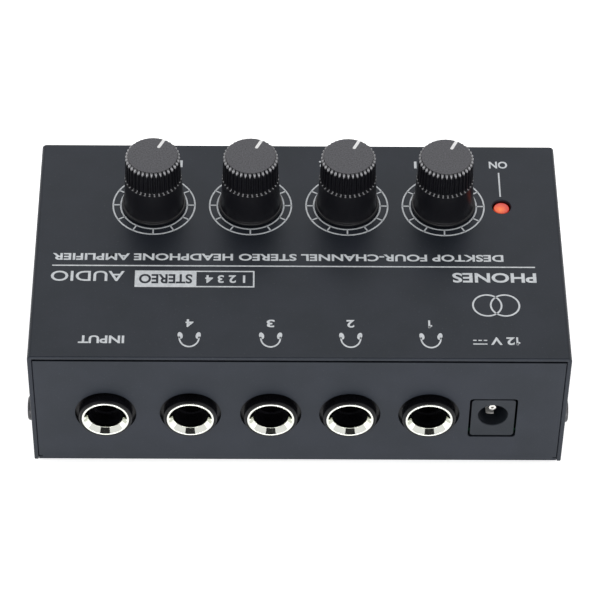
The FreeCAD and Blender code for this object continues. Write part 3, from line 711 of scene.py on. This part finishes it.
def fluted_knob():
    """One knob at the origin, from its foot rim up to the top, then its hollow foot and bore."""
    sides = knob_flutes * knob_sides_a_flute
    base_inner = knob_base_radius - knob_base_inset
    base_top = knob_lift + knob_base_band
    bpy.ops.object.select_all(action="DESELECT")
    bpy.ops.mesh.primitive_circle_add(
        vertices=sides, radius=base_inner * MM, fill_type="NOTHING", location=(0, 0, knob_lift * MM)
    )
    piece = bpy.context.object
    fix_place(piece)
    edit(piece)
    grow_rings(
        [
            (base_inner, knob_lift),
            (knob_base_radius - 0.1, knob_lift + 0.08),
            (knob_base_radius, knob_lift + 0.3),
            (knob_base_radius, base_top - 0.1),
            (knob_base_radius - 0.08, base_top + 0.05),
            *knob_skirt,
            (knob_ledge_radius + 0.09, knob_ledge_rise - knob_ledge_round),
            (knob_ledge_radius + 0.02, knob_ledge_rise),
            (knob_ledge_radius, knob_ledge_rise),
        ]
    )
    floor_radius = knob_ledge_radius
    grip_rise = knob_ledge_rise + grip_step
    grow_ring(floor_radius, knob_ledge_rise, floor_radius, grip_rise)
    limit = (knob_ledge_rise + grip_step / 2) * MM
    for step, depth in enumerate(groove_depths):
        pick(piece, "VERT", lambda vert: vert.co.z > limit and groove_step(vert) == step)
        ratio = (floor_radius - depth) / floor_radius
        bpy.ops.transform.resize(value=(ratio, ratio, 1), center_override=(0, 0, 0))
    pick(piece, "VERT", lambda vert: vert.co.z > limit)
    bpy.ops.mesh.select_mode(type="EDGE")
    slope = (knob_grip_radius - floor_radius) / (knob_shoulder - grip_rise)
    rises = (grip_rise, grip_rise + groove_run_in, knob_shoulder - groove_run_out, knob_shoulder)
    grow_rings([(floor_radius + slope * (rise - grip_rise), rise) for rise in rises])
    bpy.ops.mesh.extrude_region_move(
        TRANSFORM_OT_translate={"value": (0, 0, (knob_height - knob_shoulder) * MM)}
    )
    level = (knob_height - 0.01) * MM
    for step in range(knob_sides_a_flute // 2 + 1):
        depth = groove_depths[step] if step < len(groove_depths) else 0
        pick(piece, "VERT", lambda vert: vert.co.z > level and groove_step(vert) == step)
        ratio = knob_top_radius / (knob_grip_radius * (floor_radius - depth) / floor_radius)
        bpy.ops.transform.resize(value=(ratio, ratio, 1), center_override=(0, 0, 0))
    pick(piece, "EDGE", lambda edge: all(vert.co.z > level for vert in edge.verts))
    bpy.ops.mesh.edge_face_add()
    base = (knob_lift + 0.01) * MM
    pick(piece, "EDGE", lambda edge: all(vert.co.z < base for vert in edge.verts))
    grow_rings(
        [
            (base_inner, knob_lift),
            (knob_hollow_radius, knob_lift),
            (knob_hollow_radius, knob_hollow_top),
            (knob_hub_radius, knob_hollow_top),
            (knob_hub_radius, knob_hub_lift),
            (knob_bore_radius, knob_hub_lift),
            (knob_bore_radius, knob_bore_top),
        ]
    )
    bpy.ops.mesh.edge_face_add()
    clean(piece)
    soften(piece, knob_edge_round, segments=2, angle=40)
    cut_pointer_slot(piece)
    mark_wear(piece)
    return piece


def cut_pointer_slot(piece):
    """The slot for the pointer: round at its inner end and open at the rim."""
    slot_low = (knob_height - pointer_slot_depth) * MM
    bpy.ops.mesh.primitive_cylinder_add(
        vertices=32,
        radius=pointer_slot_width / 2 * MM,
        depth=2 * MM,
        location=((pointer_start + pointer_slot_width / 2) * MM, 0, slot_low + MM),
    )
    tools = [bpy.context.object]
    slot_length = knob_base_radius - pointer_start
    bpy.ops.mesh.primitive_cube_add(
        size=1,
        location=((pointer_start + pointer_slot_width / 2 + slot_length / 2) * MM, 0, slot_low + MM),
        scale=(slot_length * MM, pointer_slot_width * MM, 2 * MM),
    )
    tools.append(bpy.context.object)
    only(tools[0])
    union = tools[0].modifiers.new("join", "BOOLEAN")
    union.operation = "UNION"
    union.solver = "EXACT"
    union.object = tools[1]
    bpy.ops.object.modifier_apply(modifier=union.name)
    bpy.data.objects.remove(tools[1], do_unlink=True)
    cut_away(piece, tools[:1])


def mark_wear(piece):
    """Mark the painted glints: the tips of the ribs and the ledge at the foot of each groove, which are
    painted pale for their highlights.
    """
    painted_glint = piece.data.attributes.new("painted_glint", "FLOAT", "POINT")
    for vert, mark in zip(piece.data.vertices, painted_glint.data):
        radius = math.hypot(vert.co.x, vert.co.y) / MM
        rise = vert.co.z / MM
        near_rim = knob_shoulder - painted_glint_below_shoulder < rise < knob_height - painted_glint_below_top
        on_tip = near_rim and radius > knob_top_radius + painted_glint_outside_top
        on_ledge = abs(rise - knob_ledge_rise) < painted_glint_ledge_band and groove_step(vert) <= 1
        mark.value = 1.0 if on_tip or on_ledge else 0.0


def knobs():
    """The four knobs, each on its own control."""
    knob = fluted_knob()
    for number in channels:
        axis = middle_of(f"level_{number}_shaft")
        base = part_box("top_cover")[1].z
        twin = copy_at(knob, (axis.x, axis.y, base))
        twin.rotation_euler = (0, 0, pointer_angle)
        dress(
            twin,
            f"level_{number}_fluted_knob",
            knob_finish,
            f"level_{number}_control",
            [f"level_{number}_knob"],
            smooth=30,
        )
    bpy.data.objects.remove(knob, do_unlink=True)


# ---- Lamp -----------------------------------------------------------------------------------------------


def lamp():
    """The lens with its flange and a softly rounded flat top."""
    low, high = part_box("power_lamp")
    length = (high.z - low.z) / MM
    flange = ((lens_flange_radius, 0), (lens_flange_radius, lens_flange))
    lens = turned([(0, 0), *flange, (lens_radius, lens_flange), (lens_radius, length), (0, length)], steps=64)
    soften(lens, lens_round, segments=4, angle=40)
    lens.location = ((low.x + high.x) / 2, (low.y + high.y) / 2, low.z)
    dress(lens, "lit_lamp", lens_finish, "case", ["power_lamp"], smooth=50)


# ---- Print ----------------------------------------------------------------------------------------------

printed = []


def letters(words, x, y, width, height, weight=0.026):
    """Flat words fitted to a width and height in millimetres about a middle."""
    bpy.ops.object.select_all(action="DESELECT")
    bpy.ops.object.text_add(location=(0, 0, 0))
    text = bpy.context.object
    text.data.body = words
    text.data.fill_mode = "FRONT"
    text.data.resolution_u = 4
    text.data.offset = weight
    bpy.ops.object.convert(target="MESH")
    piece = bpy.context.object
    xs = [vert.co.x for vert in piece.data.vertices]
    ys = [vert.co.y for vert in piece.data.vertices]
    across = width * MM / (max(xs) - min(xs))
    up = height * MM / (max(ys) - min(ys))
    piece.scale = (across, up, 1)
    piece.location = (
        x * MM - across * (max(xs) + min(xs)) / 2,
        y * MM - up * (max(ys) + min(ys)) / 2,
        0,
    )
    fix_place(piece)
    printed.append(piece)


def bar(x0, x1, y0, y1):
    """A flat printed bar between two corners."""
    bpy.ops.object.select_all(action="DESELECT")
    bpy.ops.mesh.primitive_plane_add(size=1, location=((x0 + x1) / 2 * MM, (y0 + y1) / 2 * MM, 0))
    piece = bpy.context.object
    piece.scale = ((x1 - x0) * MM, (y1 - y0) * MM, 1)
    fix_place(piece)
    printed.append(piece)
    return piece


def ring(x, y, outer, line, kept=lambda angle: True, stretch=1.0, sides=96):
    """A flat printed ring, kept where the test on its angle in degrees allows."""
    bpy.ops.object.select_all(action="DESELECT")
    bpy.ops.mesh.primitive_circle_add(vertices=sides, radius=outer * MM, fill_type="NOTHING")
    piece = bpy.context.object
    edit(piece)
    bpy.ops.mesh.extrude_region_move()
    ratio = (outer - line) / outer
    bpy.ops.transform.resize(value=(ratio, ratio, 1), center_override=(0, 0, 0))

    def dropped(face):
        middle = face.calc_center_median()
        return not kept(math.degrees(math.atan2(middle.y, middle.x)) % 360)

    pick(piece, "FACE", dropped)
    bpy.ops.mesh.delete(type="FACE")
    only(piece)
    piece.scale = (1, stretch, 1)
    piece.location = (x * MM, y * MM, 0)
    fix_place(piece)
    printed.append(piece)


def spot(x, y, half_width, half_height, lean):
    """A flat printed oval."""
    bpy.ops.object.select_all(action="DESELECT")
    bpy.ops.mesh.primitive_circle_add(vertices=24, radius=MM, fill_type="NGON")
    piece = bpy.context.object
    piece.scale = (half_width, half_height, 1)
    piece.rotation_euler = (0, 0, math.radians(lean))
    piece.location = (x * MM, y * MM, 0)
    fix_place(piece)
    printed.append(piece)


def raise_print(name, material, pieces, level):
    """Join flat prints into one thin layer whose middle is at a height."""
    only(pieces[0])
    for piece in pieces:
        piece.select_set(True)
    bpy.ops.object.join()
    layer = bpy.context.object
    layer.location.z = level
    fix_place(layer)
    edit(layer)
    bpy.ops.mesh.remove_doubles(threshold=1e-7)
    only(layer)
    wall = layer.modifiers.new("ink", "SOLIDIFY")
    wall.thickness = 2 * print_proud * MM
    wall.offset = 0
    bpy.ops.object.modifier_apply(modifier=wall.name)
    clean(layer)
    dress(layer, name, material, "case", smooth=30)


def dial(x, y):
    """Two arcs and their ticks round one control."""
    half = print_line / 2
    for radius in (dial_outer, dial_inner):
        ring(x, y, radius, print_line, lambda angle: not dial_gap[0] < angle < dial_gap[1])
    for step in range(-5, 6):
        tick = bar(dial_inner - half, dial_outer - half, -half, half)
        tick.rotation_euler = (0, 0, math.radians(90 + dial_tick_turn * step))
        tick.location = (x * MM, y * MM, 0)
        fix_place(tick)


def headphone_mark(x, y):
    """A plain headphone pictogram: a band and two ear pads."""
    ring(
        x,
        y,
        outer=2.35,
        line=0.34,
        kept=lambda angle: angle < 188 or angle > 352,
        stretch=1.25,
        sides=64,
    )
    for side in (-1, 1):
        spot(
            x + side * ear_pad_spread,
            y - ear_pad_drop,
            half_width=0.55,
            half_height=1.0,
            lean=side * ear_pad_lean,
        )


def numeral_one(x, y):
    """A plain figure one: a stem and a short flag."""
    half = letter_height / 2
    bar(x + 0.02, x + 0.46, y - half, y + half)
    flag = bar(-0.72, 0.2, -0.2, 0.2)
    flag.rotation_euler = (0, 0, math.radians(38))
    flag.location = ((x + 0.22) * MM, (y + half - 0.32) * MM, 0)
    fix_place(flag)


def direct_current_sign(low, high):
    """The sign for direct current: a line above three dashes."""
    left = direct_current_left
    bar(left, left + direct_current_length, high, high + direct_current_stroke)
    for step in range(3):
        start = left + step * direct_current_pitch
        bar(start, start + direct_current_dash, low, low + direct_current_stroke)


def cover_print():
    """All the white print on the cover. It reads from the user's side."""
    for number in channels:
        axis = middle_of(f"level_{number}_shaft") / MM
        dial(axis.x, axis.y)
        letters(f"LEVEL {number}", axis.x, y=-28.2, width=12.6, height=letter_height)
        place = middle_of(f"output_{number}_jack_ferrule") / MM
        sign_x = place.x + 0.15
        headphone_mark(sign_x, y=26.7)
        if number == 1:
            numeral_one(sign_x, y=22.4)
        else:
            letters(str(number), sign_x, y=22.4, width=1.75, height=letter_height)
    letters("INPUT", x=43.97, y=27.35, width=10.2, height=letter_height)
    numeral_one(x=-48.5, y=27.4)
    letters("2 V", x=-45.05, y=27.4, width=5.3, height=letter_height)
    direct_current_sign(low=27.05, high=28.15)
    letters(
        "DESKTOP FOUR-CHANNEL STEREO HEADPHONE AMPLIFIER", x=4.74, y=2.0, width=102.4, height=2.15
    )
    bar(x0=-53.5, x1=55.9, y0=4.6, y1=4.94)
    letters("AUDIO", x=47.75, y=8.05, width=16.6, height=3.15, weight=0.01)
    letters("PHONES", x=-44.1, y=8.1, width=19.0, height=3.0)
    for x in (-46.1, -42.1):
        ring(x, y=16.6, outer=3.4, line=0.4)
    bar(name_box_split, name_box_right, name_box_low, name_box_high)
    bar(name_box_left, name_box_split, name_box_low, name_box_low + print_line)
    bar(name_box_left, name_box_split, name_box_high - print_line, name_box_high)
    bar(
        name_box_left,
        name_box_left + print_line,
        name_box_low + print_line,
        name_box_high - print_line,
    )
    letters("1 2 3 4", x=16.7, y=8.85, width=9.0, height=2.4)
    bar(lamp_sign_x - lamp_line_half, lamp_sign_x + lamp_line_half, y0=-25.7, y1=-17.8)
    letters("ON", lamp_sign_x, y=-28.3, width=4.3, height=letter_height)
    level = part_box("top_cover")[1].z
    raise_print("white_print", print_finish, list(printed), level)
    printed.clear()
    letters("STEREO", x=30.15, y=8.85, width=12.0, height=2.9)
    raise_print("reversed_print", coat, list(printed), level + print_proud * MM)
    printed.clear()


# ---- Studio ---------------------------------------------------------------------------------------------


def set_camera():
    """A long lens that looks down on the socket side."""
    data = bpy.data.cameras.new("camera")
    data.lens = camera_focal
    data.sensor_width = camera_film
    data.clip_start = camera_near
    data.clip_end = camera_far
    camera = bpy.data.objects.new("camera", data)
    bpy.context.scene.collection.objects.link(camera)
    turn = Matrix.Rotation(camera_heading, 4, "Z") @ Matrix.Rotation(math.pi / 2 - camera_pitch, 4, "X")
    camera.matrix_world = Matrix.Translation(camera_place) @ turn @ Matrix.Rotation(camera_roll, 4, "Z")
    bpy.context.scene.camera = camera


def area_light(name, place, aim, size, power):
    """A soft rectangular light that points at a place."""
    data = bpy.data.lights.new(name, "AREA")
    data.shape = "RECTANGLE"
    data.size, data.size_y = size
    data.energy = power
    light = bpy.data.objects.new(name, data)
    bpy.context.scene.collection.objects.link(light)
    light.location = place
    light.rotation_euler = (Vector(aim) - Vector(place)).to_track_quat("-Z", "Y").to_euler()


def plain_paint(name, colour, roughness):
    """A material with one even colour, and its shader."""
    material = bpy.data.materials.new(name)
    material.use_nodes = True
    shader = material.node_tree.nodes["Principled BSDF"]
    shader.inputs["Base Color"].default_value = (*colour, 1)
    shader.inputs["Roughness"].default_value = roughness
    return material, shader


def sheet(name, side, place):
    """A square of the studio, which isn't part of the object."""
    bpy.ops.object.select_all(action="DESELECT")
    bpy.ops.mesh.primitive_plane_add(size=side, location=place)
    piece = bpy.context.object
    piece.name = name
    return piece


def studio():
    """A pale floor, an even surround, two soft lights and a dark screen behind the camera."""
    world = bpy.data.worlds.new("studio")
    bpy.context.scene.world = world
    world.use_nodes = True
    surround = world.node_tree.nodes["Background"]
    surround.inputs["Color"].default_value = (1, 1, 1, 1)
    surround.inputs["Strength"].default_value = surround_strength
    floor = sheet("floor", floor_side, (0, 0, 0))
    material, shader = plain_paint("pale_floor", (0.85, 0.85, 0.85), 0.9)
    shader.inputs["Emission Color"].default_value = (1, 1, 1, 1)
    shader.inputs["Emission Strength"].default_value = floor_strength
    floor.data.materials.append(material)
    screen = sheet("dark_screen", screen_side, camera_place * screen_distance)
    screen.rotation_euler = camera_place.to_track_quat("Z", "Y").to_euler()
    screen.visible_camera = False
    screen.data.materials.append(plain_paint("dark_cloth", (0.004, 0.004, 0.004), 1.0)[0])
    area_light("soft_box", place=(0.0, -0.75, 0.8), aim=(0, 0, 0.03), size=(1.0, 0.6), power=2)
    area_light("low_card", place=(0.0, 0.85, 0.12), aim=(0, 0, 0.02), size=(1.2, 0.2), power=3.4)


set_camera()
cover()
feet()
ferrules()
knobs()
lamp()
cover_print()
studio()
bpy.context.scene.view_settings.view_transform = "Standard"
